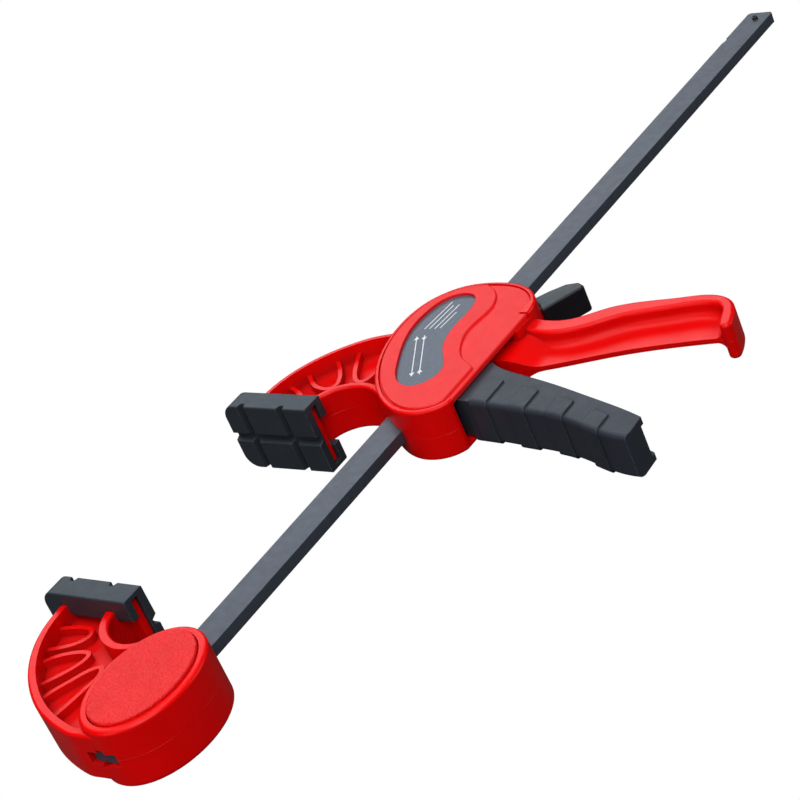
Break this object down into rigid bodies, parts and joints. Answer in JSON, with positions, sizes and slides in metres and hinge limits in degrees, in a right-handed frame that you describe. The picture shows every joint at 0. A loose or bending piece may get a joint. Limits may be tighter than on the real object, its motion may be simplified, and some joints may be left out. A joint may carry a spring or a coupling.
{
  "type": "quick release bar clamp",
  "caption": "One-handed bar clamp: a pistol-grip carriage ratchets along a flat bar and closes its padded jaw on a fixed padded jaw; a small lever lets go.",
  "frame": {"origin": "on the bar's axis, in the plane of the fixed pad's face", "axes": "+X along the bar to its free end, +Y from the bar to the jaws, +Z out of the cover side; the rest pose is the pictured opening"},
  "size_m": [0.4772, 0.1846, 0.0288],
  "materials": {
    "bar_steel": "blued, satin",
    "pin_steel": "bright, drawn",
    "plate_steel": "hardened, ground",
    "spring_steel": "drawn wire",
    "screw_steel": "black oxide",
    "red_plastic": "satin, glass-filled nylon",
    "red_grained": "finely grained",
    "black_plastic": "finely grained",
    "tab_black": "satin",
    "pad_rubber": "matte",
    "label_grey": "printed film"
  },
  "bodies": {
    "bar_and_jaw": {"bar": "bar_steel", "free_end_pin": "pin_steel", "jaw_end_pin": "pin_steel", "fixed_jaw": "red_plastic", "fixed_pad": "pad_rubber", "catch_spring": "spring_steel"},
    "button": {"release_button": "red_grained"},
    "catch": {"jaw_catch": "plate_steel"},
    "carriage": {"housing": "red_plastic", "cover": "red_grained", "label": "label_grey", "cover_screws": "screw_steel", "trigger_pin": "pin_steel", "moving_pad": "pad_rubber", "drive_spring": "spring_steel", "brake_spring": "spring_steel"},
    "trigger": {"trigger": "black_plastic"},
    "drive_plates": {"front_drive_plate": "plate_steel", "rear_drive_plate": "plate_steel"},
    "release_lever": {"brake_plate": "plate_steel", "release_tab": "tab_black"}
  },
  "joints": [
    {"name": "carriage_slide", "type": "slide", "parent": "bar_and_jaw", "child": "carriage", "axis": [1, 0, 0], "range_m": [-0.0984, 0.2185]},
    {"name": "trigger_hinge", "type": "hinge", "parent": "carriage", "child": "trigger", "pos_m": [0.131, 0.011, 0], "axis": [0, 0, 1], "range_deg": [0, 26], "stiffness_Nm_per_rad": 0.6, "springref_deg": -4.58},
    {"name": "drive_slide", "type": "slide", "parent": "carriage", "child": "drive_plates", "axis": [1, 0, 0], "range_m": [0, 0.00465], "deforming": ["drive_spring"]},
    {"name": "brake_hinge", "type": "hinge", "parent": "carriage", "child": "release_lever", "pos_m": [0.1733, 0.0183, 0], "axis": [0, 0, 1], "range_deg": [0, 6], "stiffness_Nm_per_rad": 0.5, "springref_deg": -3.44, "deforming": ["brake_spring"]},
    {"name": "button_press", "type": "slide", "parent": "bar_and_jaw", "child": "button", "axis": [0, 0, -1], "range_m": [0, 0.0013], "stiffness_N_per_m": 800, "springref_m": -0.0008},
    {"name": "catch_slide", "type": "slide", "parent": "bar_and_jaw", "child": "catch", "axis": [0, 1, 0], "range_m": [0, 0.0013], "deforming": ["catch_spring"]}
  ],
  "couplings": [
    {"joint": "drive_slide", "follows": "trigger_hinge", "m_per_rad": 0.0102},
    {"joint": "catch_slide", "follows": "button_press", "ratio": 1}
  ]
}
